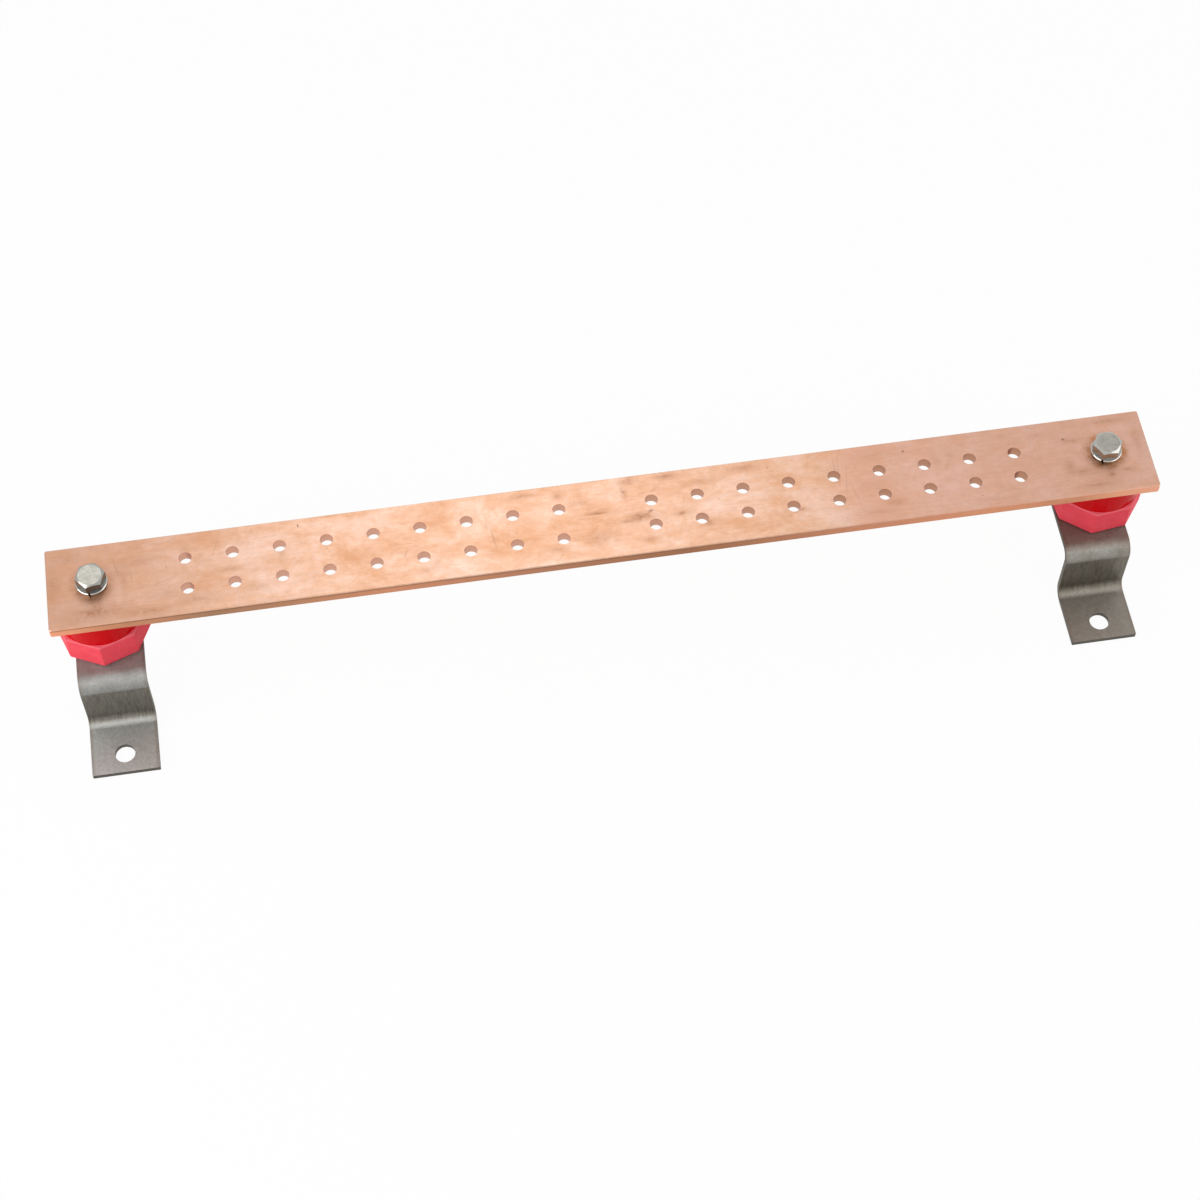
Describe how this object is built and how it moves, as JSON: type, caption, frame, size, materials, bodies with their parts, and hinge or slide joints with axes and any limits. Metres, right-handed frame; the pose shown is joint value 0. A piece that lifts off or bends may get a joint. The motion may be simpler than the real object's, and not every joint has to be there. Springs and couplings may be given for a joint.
{
  "type": "rack grounding busbar",
  "caption": "Flat copper bar drilled with pairs of lug holes, carried on two red standoff insulators, each bolted to a folded steel bracket with a foot that screws to an equipment rack.",
  "frame": {"origin": "midway between the centres of the two foot holes, on the underside of the feet", "axes": "+X along the bar to the right, +Y from the feet back towards the bar, +Z away from the rack"},
  "size_m": [0.609, 0.0976, 0.0936],
  "materials": {
    "copper": "mill-rolled copper, lightly tarnished",
    "insulator_red": "moulded glass-filled polyester, satin",
    "insert_brass": "turned",
    "bracket_steel": "folded stainless sheet",
    "bolt_zinc": "zinc-plated",
    "washer_zinc": "zinc-plated"
  },
  "bodies": {
    "root": {"busbar": "copper", "left_insulator": "insulator_red", "left_upper_insert": "insert_brass", "left_upper_bolt": "bolt_zinc", "left_upper_lock_washer": "washer_zinc", "left_lower_insert": "insert_brass", "left_lower_bolt": "bolt_zinc", "left_lower_lock_washer": "washer_zinc", "left_flat_washer": "washer_zinc", "left_bracket": "bracket_steel", "right_insulator": "insulator_red", "right_upper_insert": "insert_brass", "right_upper_bolt": "bolt_zinc", "right_upper_lock_washer": "washer_zinc", "right_lower_insert": "insert_brass", "right_lower_bolt": "bolt_zinc", "right_lower_lock_washer": "washer_zinc", "right_flat_washer": "washer_zinc", "right_bracket": "bracket_steel"}
  },
  "joints": []
}
